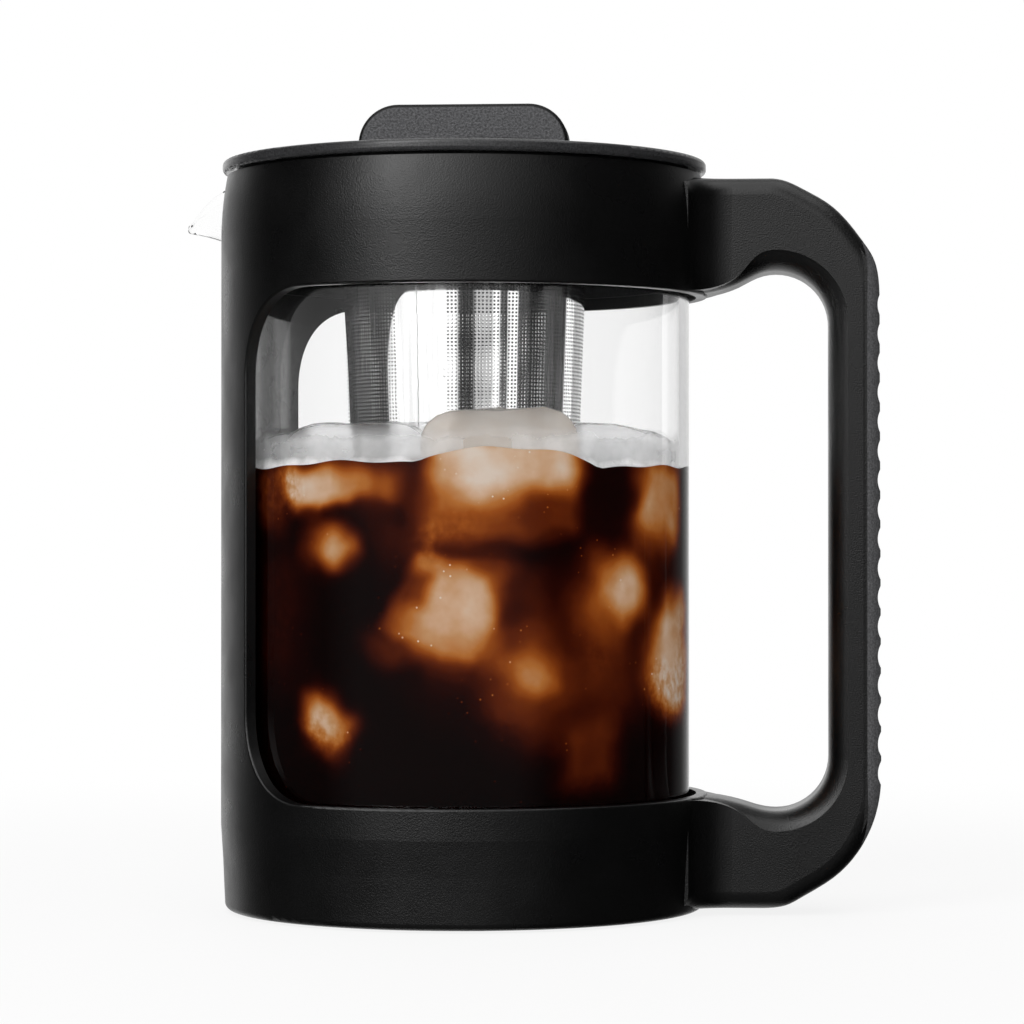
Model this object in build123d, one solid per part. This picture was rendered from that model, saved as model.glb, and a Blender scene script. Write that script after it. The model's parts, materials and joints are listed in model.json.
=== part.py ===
from build123d import *
from math import sqrt
import os

# Cold brew coffee maker: a glass jug in a one-piece plastic jacket with a handle,
# a steel filter that hangs in the jug, and a lid whose knob opens the way to the spout.
# Frame: Z up, the handle towards +X, the spout towards -X, the origin on the table
# under the jug's axis. All sizes are in millimetres.

# ---------------------------------------------------------------- driving dimensions

# Glass jug
glass_r = 51.8
glass_wall = 2.2
glass_floor_t = 3.0
glass_heel_r = 6.0
glass_inner_heel_r = 4.5
rim_z = 166.0

# Jacket: cup, spine, top band and handle are one moulding
jacket_gap = 1.6
jacket_wall = 2.6
jacket_lift = 0.5
foot_draft = 1.0
kink_z = 12.0
kink_draft = 0.5
cup_blend_z = 20.0
bottom_edge_r = 1.6
window_bottom_z = 26.9
window_corner_r = 19.5
window_edge_r = 0.5
spine_half_angle = 34.0
band_rise = 2.5
band_h = 27.8
crown_height = 14.0
crown_draft = 1.4

# Base: foot pad under the floor, cushion on it
foot_pad_margin = 10.0
foot_pad_t = 2.0
foot_pad_gap = 0.15
floor_t = 3.0
cushion_t = 2.4
cushion_lip_h = 7.6
neck_ring_rise = 2.8
neck_ring_h = 5.0

# Handle
handle_reach = 39.5
handle_half_width = 13.0
handle_top_drop = 1.4
handle_foot_lift = 1.5
bar_depth = 11.8
arch_r = 12.0
arch_rise = 5.6
arch_dip = 3.5
ridge_depth = 4.3
ridge_step = 0.75
inner_edge_r = 6.0
outer_edge_r = 4.0
flare_r = 10.0
knuckle_length = 25.0
knuckle_drop = 27.6
knuckle_lean = 0.3
heel_length = 27.0
heel_rise = 30.5
arch_lead = 8.2

# Points of the knuckle's and the heel's curves, as shares of their length and height.
# The grip strip starts at the last point of the knuckle and ends at the first of the heel.
knuckle_shape = ((0.29, 0.085), (0.564, 0.236), (0.84, 0.525))
heel_shape = ((0.149, 0.485), (0.397, 0.231), (0.68, 0.075))

# Soft grip strip along the outside of the handle
grip_t = 3.2
grip_side_step = 0.8
grip_reveal_width = 0.9
grip_end_depth = 0.6
grip_taper_slope = 0.6
rib_pitch = 6.63
rib_depth = 0.8
rib_crest = 1.0
rib_foot_rise = 27.4
rib_head_drop = 25.1

# Spout: reach past the band, half width and keel depth under the rim, at root, middle and tip
spout_tip_reach = 8.6
spout_mid_reach = 2.5
spout_root_half_width = 9.6
spout_mid_half_width = 7.2
spout_tip_half_width = 2.9
spout_root_depth = 14.4
spout_mid_depth = 11.7
spout_tip_depth = 9.5
spout_lip_h = 0.8
spout_wall = 1.8
notch_gap = 0.8

# Filter
filter_top_r = 28.2
filter_taper = 0.0375
filter_wall = 0.6
filter_bottom_z = 32.0
filter_cup_h = 6.0
filter_cup_t = 0.8
collar_overhang = 0.6
collar_flange_t = 1.2
collar_skirt_t = 1.6
collar_web_depth = 16.0
collar_web_t = 2.0
collar_slot_count = 8
collar_slot_margin = 2.3
collar_slot_width = 9.0
gasket_t = 1.0
filter_rim_width = 2.8
filter_rim_t = 1.2
cap_t = 1.6
cap_overhang = 1.8
cap_lip_t = 1.2
cap_lip_h = 3.6
cap_tab_length = 18.0
cap_tab_t = 3.0
cap_tab_h = 2.2

# Lid
lid_edge_inset = 0.3
lid_seal_t = 1.0
lid_seal_width = 4.6
lid_edge_h = 2.6
lid_edge_r = 0.9
lid_cone_rise = 2.0
lid_plate_t = 3.0
plug_wall = 2.0
strainer_t = 0.4
strainer_margin = 1.6
strainer_slot_count = 7
strainer_slot_width = 1.3
pour_half_width = 8.5
pour_sill = 3.0
pour_head = 4.2

# Knob and the shutter that it turns
knob_disc_r = 32.0
knob_disc_t = 2.2
knob_bar_length = 48.5
knob_bar_t = 9.0
knob_bar_corner_r = 9.2
knob_bar_edge_r = 1.1
knob_bar_h = 10.6
shaft_r = 6.0
shutter_wall = 2.0
shutter_plate_t = 2.0
hub_r = 9.0
hub_length = 5.9
screw_r = 1.8
screw_head_r = 3.6
screw_head_t = 2.2
screw_grip = 9.5
screw_socket_r = 1.7
screw_socket_depth = 1.2
washer_r = 7.6
washer_t = 1.0
o_ring_cord_r = 0.55

# Clearances between pieces that move apart
lift_gap = 0.3
plug_gap = 0.5
running_gap = 0.08
rotor_gap = 0.4

# ---------------------------------------------------------------- sizes that follow

cavity_r = glass_r + jacket_gap
body_r = cavity_r + jacket_wall
band_top_r = body_r - crown_draft
band_top_z = rim_z + band_rise
window_top_z = band_top_z - band_h
foot_pad_r = body_r - foot_pad_margin
floor_top_z = foot_pad_t + floor_t
glass_bottom_z = floor_top_z + cushion_t
glass_inner_r = glass_r - glass_wall
keeper_r = glass_r + lift_gap
neck_ring_z = window_top_z + neck_ring_rise

spout_tip_x = -(body_r + spout_tip_reach)
spout_mid_x = -(body_r + spout_mid_reach)
spout_root_keel_z = rim_z - spout_root_depth
spout_mid_keel_z = rim_z - spout_mid_depth
spout_tip_keel_z = rim_z - spout_tip_depth

handle_x = body_r + handle_reach
handle_root_x = cavity_r - 2 * jacket_wall
handle_top_z = band_top_z - handle_top_drop
bar_inner_x = handle_x - bar_depth
arch_x = bar_inner_x - arch_r
grip_x = handle_x - grip_t
first_rib_z = handle_foot_lift + rib_foot_rise
last_rib_z = handle_top_z - rib_head_drop
rib_count = int((last_rib_z - first_rib_z) / rib_pitch) + 1

gasket_z = rim_z
flange_z = gasket_z + gasket_t
lid_seal_z = flange_z + collar_flange_t
lid_z = lid_seal_z + lid_seal_t
lid_r = body_r - lid_edge_inset
collar_flange_r = glass_r + collar_overhang
collar_web_z = rim_z - collar_web_depth
collar_r = glass_inner_r - plug_gap - lift_gap
collar_bowl_r = collar_r - collar_skirt_t
web_top_z = collar_web_z + collar_web_t
plug_r = collar_bowl_r - plug_gap - strainer_t
plug_inner_r = plug_r - plug_wall
shutter_r = plug_inner_r - rotor_gap
pour_bottom_z = web_top_z + pour_sill
pour_top_z = lid_z - pour_head

knob_seat_z = lid_z + lid_plate_t
knob_disc_z = knob_seat_z + lift_gap
knob_disc_top_z = knob_disc_z + knob_disc_t
shutter_top_z = lid_z - lift_gap
shutter_plate_z = shutter_top_z - shutter_plate_t
knob_top_z = knob_disc_top_z + knob_bar_h
hub_end_z = shutter_plate_z - hub_length

# ---------------------------------------------------------------- helpers

STANDING = (Align.CENTER, Align.CENTER, Align.MIN)
BIG = 300.0


def disc(radius, low_z, high_z):
    """Round plate about the Z axis."""
    return Pos(0, 0, low_z) * Cylinder(radius, high_z - low_z, align=STANDING)


def ring(outer_r, inner_r, low_z, high_z):
    """Flat ring about the Z axis."""
    return disc(outer_r, low_z, high_z) - disc(inner_r, low_z, high_z)


def turned(*points):
    """Solid of revolution about Z from (radius, height) corners."""
    return revolve(Plane.XZ * Polygon(*points, align=None), Axis.Z)


def block(low, high):
    """Box between two opposite corners."""
    size = [high[i] - low[i] for i in range(3)]
    middle = [(high[i] + low[i]) / 2 for i in range(3)]
    return Pos(*middle) * Box(*size)


def side_plate(outline, half_width):
    """A side view outline (X, Z) given a width to both sides of the XZ plane."""
    return extrude(Plane.XZ * outline, half_width, both=True)


def side_edges(shape):
    """The edges round the flat sides of a side plate."""
    return ShapeList([e for f in shape.faces().filter_by(Axis.Y) for e in f.edges()])


def edges_at(shape, height, reach=0.01):
    """The edges that lie at one height."""
    return shape.edges().filter_by_position(Axis.Z, height - reach, height + reach)


def filter_r(z):
    """Outer radius of the tapered filter tube at a height."""
    return filter_top_r - filter_taper * (web_top_z - z)


def filter_cone(grow, low_z, high_z):
    """Solid cone with the filter's taper, grown outwards by a distance."""
    height = high_z - low_z
    low_r = filter_r(low_z) + grow
    high_r = filter_r(high_z) + grow
    return Pos(0, 0, low_z) * Cone(low_r, high_r, height, align=STANDING)


def pour_window(outer_r, inner_r, grow=0.0):
    """The way for the coffee through a skirt, on the spout's side."""
    half = pour_half_width + grow
    return block((-outer_r - 1, -half, pour_bottom_z - grow), (-inner_r / 2, half, pour_top_z + grow))


# ---------------------------------------------------------------- jacket


def jacket_blank():
    """The cup and band as one solid of revolution, before it is hollowed."""
    side = Polyline(
        (0, jacket_lift),
        (body_r - foot_draft, jacket_lift),
        (body_r - kink_draft, kink_z),
        (body_r, cup_blend_z),
        (body_r, band_top_z - crown_height),
    )
    crown = TangentArc(side @ 1, (band_top_r, band_top_z), tangent=(0, 1))
    back = Polyline(crown @ 1, (0, band_top_z), (0, jacket_lift))
    profile = make_face(side.edges() + crown.edges() + back.edges())
    blank = revolve(Plane.XZ * profile, Axis.Z)
    return fillet(edges_at(blank, jacket_lift), bottom_edge_r)


def window_cutter():
    """The window round the jug, from one edge of the spine to the other."""
    inner_r = cavity_r / 2
    outer_r = body_r + jacket_wall
    height = window_top_z - window_bottom_z
    solid = ring(outer_r, inner_r, window_bottom_z, window_top_z)
    wedge = Polygon((0, 0), (-BIG, BIG * spine_slope()), (-BIG, -BIG * spine_slope()), align=None)
    solid -= Pos(0, 0, window_bottom_z) * extrude(wedge, height)
    corners = solid.edges().filter_by(GeomType.LINE).filter_by(Axis.Z, reverse=True)
    return fillet(corners, window_corner_r)


def spine_slope():
    """Rise over run of the spine's edges in plan."""
    edge = Vector(1, 0, 0).rotate(Axis.Z, spine_half_angle)
    return edge.Y / edge.X


def spout_notch():
    """U-shaped notch in the band for the spout, open at the top."""
    half = spout_root_half_width + notch_gap
    bottom = spout_root_keel_z - notch_gap
    shape = Pos(0, bottom + half) * Circle(half)
    shape += Pos(0, bottom + half) * Rectangle(2 * half, BIG, align=(Align.CENTER, Align.MIN))
    return extrude(Plane.YZ * shape, -BIG)


def knuckle_points():
    """Points of the handle's upper outer curve in side view, from top to bar."""
    knee = (handle_x - knuckle_length, handle_top_z)
    shoulder = (handle_x - knuckle_lean, handle_top_z - knuckle_drop)
    over = [(knee[0] + x * knuckle_length, knee[1] - z * knuckle_drop) for x, z in knuckle_shape]
    return [knee, *over, shoulder]


def heel_points():
    """Points of the handle's lower outer curve in side view, from bar to sole."""
    hip = (handle_x, handle_foot_lift + heel_rise)
    heel = (handle_x - heel_length, handle_foot_lift)
    under = [(hip[0] - x * heel_length, heel[1] + z * heel_rise) for x, z in heel_shape]
    return [hip, *under, heel]


def handle_outline():
    """Side view of the handle with its grip strip, without the finger opening."""
    over = knuckle_points()
    under = heel_points()
    knuckle = Spline(*over, tangents=[(1, 0), (0, -1)])
    sole = Spline(*under, tangents=[(0, -1), (-1, 0)])
    top = Line((handle_root_x, handle_top_z), over[0])
    back = Line(over[-1], under[0])
    root = ((handle_root_x, handle_foot_lift), (handle_root_x, handle_top_z))
    closing = Polyline(under[-1], *root)
    edges = top.edges() + knuckle.edges() + back.edges() + sole.edges() + closing.edges()
    return make_face(edges)


def finger_opening(offset):
    """Side view of the opening between handle and jug, widened by an offset."""
    radius = arch_r + offset
    top_c = window_top_z + arch_rise - arch_r
    low_c = window_bottom_z - arch_dip + arch_r
    crest = (arch_x, top_c + radius)
    trough = (arch_x, low_c - radius)
    shade = 0.15 * offset
    top = Spline(
        (handle_root_x, window_top_z + shade / 2),
        (arch_x - arch_lead + shade, window_top_z + (arch_rise + offset) / 2),
        crest,
        tangents=[(1, 0), (1, 0)],
    )
    low = Spline(
        trough,
        (arch_x - arch_lead + shade, window_bottom_z - (arch_dip + offset) / 2),
        (handle_root_x, window_bottom_z - shade / 2),
        tangents=[(-1, 0), (-1, 0)],
    )
    upper = TangentArc(crest, (arch_x + radius, top_c), tangent=(1, 0))
    lower = TangentArc((arch_x + radius, low_c), trough, tangent=(0, -1))
    bar = Line(upper @ 1, lower @ 0)
    root = Line(low @ 1, top @ 0)
    edges = top.edges() + upper.edges() + bar.edges() + lower.edges() + low.edges() + root.edges()
    return make_face(edges)


def grip_zone():
    """Side view of everything outside the groove between handle and grip strip."""
    head = Vector(*knuckle_points()[-2])
    tail = Vector(*heel_points()[1])
    inward = Vector(-grip_end_depth, 0)
    upper_end = Vector(grip_x, handle_top_z - knuckle_drop)
    lower_end = Vector(grip_x, handle_foot_lift + heel_rise)
    taper = (grip_taper_slope, -1)
    upper = Spline(head + inward, upper_end, tangents=[taper, (0, -1)])
    lower = Spline(lower_end, tail + inward, tangents=[(0, -1), (-grip_taper_slope, -1)])
    straight = Line(upper_end, lower_end)
    outside_x = handle_x + grip_t
    outside = Polyline(
        tail + inward,
        (outside_x, tail.Y - grip_end_depth),
        (outside_x, head.Y + grip_end_depth),
        head + inward,
    )
    return make_face(upper.edges() + straight.edges() + lower.edges() + outside.edges())


def handle_plan():
    """Plan of the handle, flared where its arms meet the jacket."""
    bar = Rectangle(handle_x, 2 * handle_half_width, align=(Align.MIN, Align.CENTER))
    plan = Circle(body_r) + bar
    inner_corners = plan.vertices().filter_by_position(Axis.X, body_r / 2, body_r + 1)
    return fillet(inner_corners, flare_r)


def rounded_handle(half_width, edge_r):
    """The handle's whole side outline as a plate, its outer edges rounded."""
    plate = side_plate(handle_outline(), half_width)
    return fillet(handle_outer_edges(plate), edge_r)


def handle():
    """The handle's core: a flat-sided frame with a full, rounded inner side."""
    frame = side_plate(handle_outline() - finger_opening(ridge_depth), BIG)
    frame &= extrude(handle_plan(), BIG)
    frame = fillet(handle_outer_edges(frame), outer_edge_r)
    root_half = handle_half_width + 0.75 * flare_r
    frame &= block((0, -root_half, 0), (BIG, root_half, BIG))
    frame -= side_plate(grip_zone(), BIG)
    frame -= grip_reveal()
    pad_half = handle_half_width - ridge_step
    pad = rounded_handle(pad_half, outer_edge_r)
    pad -= side_plate(grip_zone(), BIG)
    pad -= side_plate(finger_opening(0), BIG)
    pad = fillet(opening_edges(pad), inner_edge_r)
    return frame + pad


def grip_reveal():
    """Shallow groove beside the grip strip, in both flat sides of the handle."""
    zone = Pos(-grip_reveal_width, 0, 0) * grip_zone()
    return side_plate(zone, BIG) - side_plate(zone, handle_half_width - grip_side_step)


def handle_outer_edges(frame):
    """Long edges along the outside of the handle, on both of its flat sides."""
    return ShapeList([e for e in side_edges(frame) if is_outer(e)])


def is_outer(edge):
    """True for an edge of the handle's outline that is not on the finger opening."""
    middle = edge @ 0.5
    ahead = middle.X > arch_x + arch_r + ridge_depth + 0.5
    above = middle.Z > handle_top_z - 6 and edge.length > 2
    below = middle.Z < handle_foot_lift + 8 and edge.length > 2
    return ahead or above or below


def opening_edges(pad):
    """Edges round the finger opening of the inner pad, on both sides."""
    found = []
    for face in pad.faces().filter_by(Axis.Y):
        for edge in face.edges():
            middle = edge @ 0.5
            inside_x = middle.X < bar_inner_x + 0.1
            inside_z = window_bottom_z - arch_dip - 0.1 < middle.Z < window_top_z + arch_rise + 0.1
            flat_root = abs(middle.X - handle_root_x) < 0.01
            if inside_x and inside_z and not flat_root:
                found.append(edge)
    return ShapeList(found)


def frame_shell():
    """Jacket: cup, spine, band and handle in one piece."""
    shell = jacket_blank() - disc(cavity_r, floor_top_z, BIG)
    shell -= window_cutter()
    rounded = [e for e in shell.edges() if on_window_edge(e)]
    shell = fillet(rounded, window_edge_r)
    grip = handle() - disc(cavity_r, floor_top_z, BIG)
    shell += grip
    shell -= spout_notch()
    shell -= disc(foot_pad_r + foot_pad_gap, -1, foot_pad_t)
    return shell


def on_window_edge(edge):
    """True for an outer edge of the window."""
    middle = edge @ 0.5
    start = edge @ 0
    on_skin = abs(sqrt(start.X**2 + start.Y**2) - body_r) < 0.01
    on_skin = on_skin and abs(sqrt(middle.X**2 + middle.Y**2) - body_r) < 0.01
    return on_skin and window_bottom_z - 0.01 < middle.Z < window_top_z + 0.01


def handle_grip():
    """Soft ribbed strip set along the outside of the handle."""
    strip = rounded_handle(handle_half_width - grip_side_step, outer_edge_r - grip_side_step / 2)
    strip &= side_plate(grip_zone(), BIG)
    groove_half = (rib_pitch - rib_crest) / 2
    cutter_r = (groove_half**2 + rib_depth**2) / (2 * rib_depth)
    cutter = Rot(90, 0, 0) * Cylinder(cutter_r, BIG)
    for i in range(rib_count - 1):
        z = first_rib_z + (i + 0.5) * rib_pitch
        strip -= Pos(handle_x - rib_depth + cutter_r, 0, z) * cutter
    return strip


def foot_pad():
    """Silicone disc under the jacket, the face that the jug stands on."""
    return disc(foot_pad_r, 0, foot_pad_t)


def base_cushion():
    """Silicone cup in the jacket that the glass stands in."""
    lip_z = glass_bottom_z + cushion_lip_h
    return turned(
        (0, floor_top_z),
        (cavity_r, floor_top_z),
        (cavity_r, lip_z),
        (keeper_r, lip_z),
        (keeper_r, glass_bottom_z),
        (0, glass_bottom_z),
    )


def neck_ring():
    """Silicone ring inside the band that centres the glass."""
    return ring(cavity_r, keeper_r, neck_ring_z, neck_ring_z + neck_ring_h)


# ---------------------------------------------------------------- glass jug


def spout_section(x, half_width, keel_z):
    """U-shaped cross-section of the spout at one distance from the axis."""
    shoulder_z = keel_z + half_width
    top_z = rim_z + glass_wall
    arc = ThreePointArc((-half_width, shoulder_z), (0, keel_z), (half_width, shoulder_z))
    sides = Polyline(arc @ 1, (half_width, top_z), (-half_width, top_z), arc @ 0)
    return Plane.YZ.offset(x) * make_face(arc.edges() + sides.edges())


def spout_body(wall):
    """Solid spout, thinned all round by a wall: zero gives its outside."""
    root_x = -(glass_inner_r - glass_wall)
    tip_wall = wall / 2
    sections = [
        spout_section(root_x, spout_root_half_width + 1.4 - wall, spout_root_keel_z - 1.6 + wall),
        spout_section(-glass_r, spout_root_half_width - wall, spout_root_keel_z + wall),
        spout_section(spout_mid_x, spout_mid_half_width - wall, spout_mid_keel_z + wall),
        spout_section(spout_tip_x, spout_tip_half_width - tip_wall, spout_tip_keel_z + tip_wall),
    ]
    return loft(sections)


def spout_rim_cut():
    """Everything above the spout's sloping rim."""
    start = (-cavity_r - 1.0, rim_z)
    end = (spout_tip_x - spout_lip_h, spout_tip_keel_z + spout_lip_h / 2)
    slope = ThreePointArc(start, (spout_mid_x - 1.2, rim_z - 2.3), end)
    high_z = rim_z + 3 * glass_wall
    far_x = spout_tip_x - glass_wall
    corners = Polyline(end, (far_x, end[1]), (far_x, high_z), (start[0], high_z), start)
    return side_plate(make_face(slope.edges() + corners.edges()), BIG)


def glass_vessel():
    """The jug: a straight glass with a pulled spout."""
    outside = disc(glass_r, glass_bottom_z, rim_z)
    outside = fillet(edges_at(outside, glass_bottom_z), glass_heel_r)
    inner_z = glass_bottom_z + glass_floor_t
    inside = disc(glass_inner_r, inner_z, rim_z + glass_wall)
    inside = fillet(edges_at(inside, inner_z), glass_inner_heel_r)
    vessel = outside + spout_body(0)
    vessel -= inside
    vessel -= spout_body(spout_wall)
    vessel -= disc(BIG, rim_z, rim_z + BIG)
    vessel -= spout_rim_cut()
    return vessel


# ---------------------------------------------------------------- filter


def filter_collar():
    """Ring that hangs on the glass rim and carries the filter."""
    collar = turned(
        (filter_r(collar_web_z) + lift_gap, collar_web_z),
        (collar_r, collar_web_z),
        (collar_r, flange_z),
        (collar_flange_r, flange_z),
        (collar_flange_r, lid_seal_z),
        (collar_bowl_r, lid_seal_z),
        (collar_bowl_r, web_top_z),
        (filter_r(collar_web_z) + lift_gap, web_top_z),
    )
    slot_middle = (collar_bowl_r + filter_r(collar_web_z)) / 2
    slot_length = collar_bowl_r - filter_r(collar_web_z) - 2 * collar_slot_margin
    slot = SlotOverall(slot_length, collar_slot_width)
    slots = Sketch() + [loc * slot for loc in PolarLocations(slot_middle, collar_slot_count)]
    collar -= Pos(0, 0, collar_web_z - 1) * extrude(slots, collar_web_t + 2)
    return collar - pour_window(collar_r, collar_bowl_r, grow=0.5)


def collar_gasket():
    """Flat silicone ring between the glass rim and the filter collar."""
    return ring(collar_flange_r, collar_r + lift_gap, gasket_z, flange_z)


def filter_tube():
    """Tapered steel tube, open at both ends."""
    top_z = web_top_z + filter_rim_t
    tube = filter_cone(0, filter_bottom_z, top_z)
    return tube - filter_cone(-filter_wall, filter_bottom_z, top_z)


def filter_rim():
    """Rolled steel rim that seats the tube on the collar."""
    top_z = web_top_z + filter_rim_t
    blank = disc(filter_r(top_z) + filter_rim_width, web_top_z, top_z)
    blank = fillet(blank.edges(), filter_rim_t / 3)
    return blank - filter_cone(0, web_top_z - 1, top_z + 1)


def filter_base():
    """Steel cup that closes the foot of the tube."""
    low_z = filter_bottom_z - filter_cup_t
    cup = filter_cone(filter_wall, low_z, filter_bottom_z + filter_cup_h)
    cup = fillet(edges_at(cup, low_z), filter_cup_t)
    return cup - filter_cone(0, filter_bottom_z, filter_bottom_z + 2 * filter_cup_h)


def filter_cap():
    """Cap that closes the filter's mouth, with a tab to pull it by."""
    seat_z = web_top_z + filter_rim_t
    top_z = seat_z + cap_t
    cap_r = filter_r(seat_z) + cap_overhang
    lip_z = seat_z - cap_lip_h
    lip_r = filter_r(lip_z) - filter_wall - lift_gap
    cap = disc(cap_r, seat_z, top_z)
    cap += ring(lip_r, lip_r - cap_lip_t, lip_z, seat_z)
    half_tab = cap_tab_length / 2
    cap += block((-half_tab, -cap_tab_t / 2, top_z), (half_tab, cap_tab_t / 2, top_z + cap_tab_h))
    return cap


# ---------------------------------------------------------------- lid


def lid_cover():
    """Lid top: thin flange, low cone and a sunk seat for the knob's disc."""
    edge_z = lid_z + lid_edge_h
    seat_r = knob_disc_r + rotor_gap
    cone_z = edge_z + lid_cone_rise
    cover = turned(
        (shaft_r + running_gap, lid_z),
        (lid_r, lid_z),
        (lid_r, edge_z),
        (lid_r - 2 * lid_edge_r, edge_z),
        (seat_r, cone_z),
        (seat_r, knob_seat_z),
        (shaft_r + running_gap, knob_seat_z),
    )
    rim = [e for e in cover.edges().filter_by(GeomType.CIRCLE) if e.radius > lid_r - 0.01]
    return fillet(rim, lid_edge_r)


def lid_plug():
    """Skirt under the lid that enters the filter collar, with the pour window."""
    skirt = ring(plug_r, plug_inner_r, web_top_z + rotor_gap, lid_z)
    return skirt - pour_window(plug_r, plug_inner_r)


def lid_seal():
    """Flat silicone ring between the filter collar and the lid."""
    inner_r = plug_r + strainer_t + lift_gap
    return ring(inner_r + lid_seal_width, inner_r, lid_seal_z, lid_z)


def pour_strainer():
    """Curved steel sheet with slots over the pour window."""
    half = pour_half_width + strainer_margin
    low_z = pour_bottom_z - strainer_margin
    high_z = pour_top_z + strainer_margin
    sheet = ring(plug_r + strainer_t, plug_r, low_z, high_z)
    sheet &= block((-BIG, -half, low_z - 1), (0, half, high_z + 1))
    pitch = 2 * pour_half_width / strainer_slot_count
    for i in range(strainer_slot_count):
        y = (i - (strainer_slot_count - 1) / 2) * pitch
        low = (-BIG, y - strainer_slot_width / 2, pour_bottom_z + strainer_slot_width)
        high = (0, y + strainer_slot_width / 2, pour_top_z - strainer_slot_width)
        sheet -= block(low, high)
    return sheet


# ---------------------------------------------------------------- knob and shutter


def knob_grip():
    """Turning disc with an upright bar, and the shaft below it."""
    low_z = knob_disc_top_z - 1
    height = knob_top_z - low_z
    bar = Rectangle(knob_bar_length, height, align=(Align.CENTER, Align.MIN))
    bar = fillet(bar.vertices().group_by(Axis.Y)[-1], knob_bar_corner_r)
    grip = Pos(0, 0, low_z) * side_plate(bar, knob_bar_t / 2)
    long_edges = [e for e in side_edges(grip) if (e @ 0.5).Z > low_z + 0.5]
    grip = fillet(long_edges, knob_bar_edge_r)
    knob = disc(knob_disc_r, knob_disc_z, knob_disc_top_z) + grip
    shaft = disc(shaft_r, hub_end_z + lift_gap, knob_disc_z)
    shaft -= ring(BIG, shaft_r - 2 * o_ring_cord_r, o_ring_z() - o_ring_cord_r, o_ring_z() + o_ring_cord_r)
    knob += shaft
    return knob - disc(screw_r, hub_end_z, hub_end_z + screw_grip)


def o_ring_z():
    """Height of the seal in the lid's bore."""
    return (lid_z + knob_seat_z) / 2


def knob_o_ring():
    """Rubber ring in the shaft's groove that seals the lid's bore."""
    return Pos(0, 0, o_ring_z()) * Torus(shaft_r - o_ring_cord_r, o_ring_cord_r)


def pour_shutter():
    """Cup that turns with the knob and opens or closes the pour window."""
    low_z = web_top_z + 2 * rotor_gap
    shutter = turned(
        (shaft_r, hub_end_z),
        (hub_r, hub_end_z),
        (hub_r, shutter_plate_z),
        (shutter_r - shutter_wall, shutter_plate_z),
        (shutter_r - shutter_wall, low_z),
        (shutter_r, low_z),
        (shutter_r, shutter_top_z),
        (shaft_r, shutter_top_z),
    )
    return shutter - pour_window(shutter_r, shutter_r - shutter_wall)


def knob_washer():
    """Washer that clamps the shutter's hub to the shaft."""
    return ring(washer_r, screw_r, hub_end_z - washer_t, hub_end_z)


def knob_screw():
    """Screw up through the washer into the shaft."""
    head_top = hub_end_z - washer_t
    head_low = head_top - screw_head_t
    screw = disc(screw_head_r, head_low, head_top)
    screw = fillet(edges_at(screw, head_low), screw_head_t / 4)
    screw += disc(screw_r, head_top, hub_end_z + screw_grip)
    socket = extrude(RegularPolygon(screw_socket_r, 6), screw_socket_depth)
    return screw - Pos(0, 0, head_low) * socket


# ---------------------------------------------------------------- export

pieces = {
    "frame_shell": frame_shell(),
    "handle_grip": handle_grip(),
    "foot_pad": foot_pad(),
    "base_cushion": base_cushion(),
    "neck_ring": neck_ring(),
    "glass_vessel": glass_vessel(),
    "filter_collar": filter_collar(),
    "collar_gasket": collar_gasket(),
    "filter_tube": filter_tube(),
    "filter_rim": filter_rim(),
    "filter_base": filter_base(),
    "filter_cap": filter_cap(),
    "lid_cover": lid_cover(),
    "lid_plug": lid_plug(),
    "lid_seal": lid_seal(),
    "pour_strainer": pour_strainer(),
    "knob_grip": knob_grip(),
    "knob_o_ring": knob_o_ring(),
    "pour_shutter": pour_shutter(),
    "knob_washer": knob_washer(),
    "knob_screw": knob_screw(),
}

os.makedirs("parts", exist_ok=True)
for name, piece in pieces.items():
    export_step(piece, f"parts/{name}.step")
    print(f"{name}: {piece.volume / 1000:.2f} cm3")
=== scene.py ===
# %% [markdown]
# # A cold brew coffee maker in a light studio
#
# The solids of the coffee maker come ready made: the black jacket, the lid with its knob, the
# steel filter and the seals. This lesson gives each of them a finish, and models what solids
# can't show well: a smooth blown jug, the fine holes of the filter, the coffee and the ice.
# Everything is in metres, with Z up, the handle towards +X and the spout towards -X.

# %% Load the solids
import bmesh
import bpy
import json
from math import asin, atan2, cos, degrees, hypot, pi, radians, sin
from mathutils import Matrix, Vector, noise


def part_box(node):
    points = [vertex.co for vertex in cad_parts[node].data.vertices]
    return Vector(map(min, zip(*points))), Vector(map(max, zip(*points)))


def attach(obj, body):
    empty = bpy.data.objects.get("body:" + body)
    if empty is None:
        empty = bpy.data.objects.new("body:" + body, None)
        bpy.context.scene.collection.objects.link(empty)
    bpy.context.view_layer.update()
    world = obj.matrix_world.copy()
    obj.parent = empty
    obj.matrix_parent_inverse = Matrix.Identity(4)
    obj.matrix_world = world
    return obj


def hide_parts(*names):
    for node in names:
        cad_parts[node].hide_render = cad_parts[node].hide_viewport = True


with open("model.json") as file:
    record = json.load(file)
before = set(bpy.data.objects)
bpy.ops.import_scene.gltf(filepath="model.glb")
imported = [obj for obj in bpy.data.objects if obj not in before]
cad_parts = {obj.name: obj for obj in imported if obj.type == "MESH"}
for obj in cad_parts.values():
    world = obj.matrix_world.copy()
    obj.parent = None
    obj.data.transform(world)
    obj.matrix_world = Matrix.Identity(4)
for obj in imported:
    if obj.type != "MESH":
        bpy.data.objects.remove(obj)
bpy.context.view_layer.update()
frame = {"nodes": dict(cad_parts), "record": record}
solids = frame["nodes"]
MM = 0.001

# %% [markdown]
# ## The camera
#
# A product picture is taken from far away with a long lens, so that upright edges stay upright.
# The camera stands at the height of the jug's middle, in front of the side that is called the
# front from here on: it is turned a little from -Y towards the handle.

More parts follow.
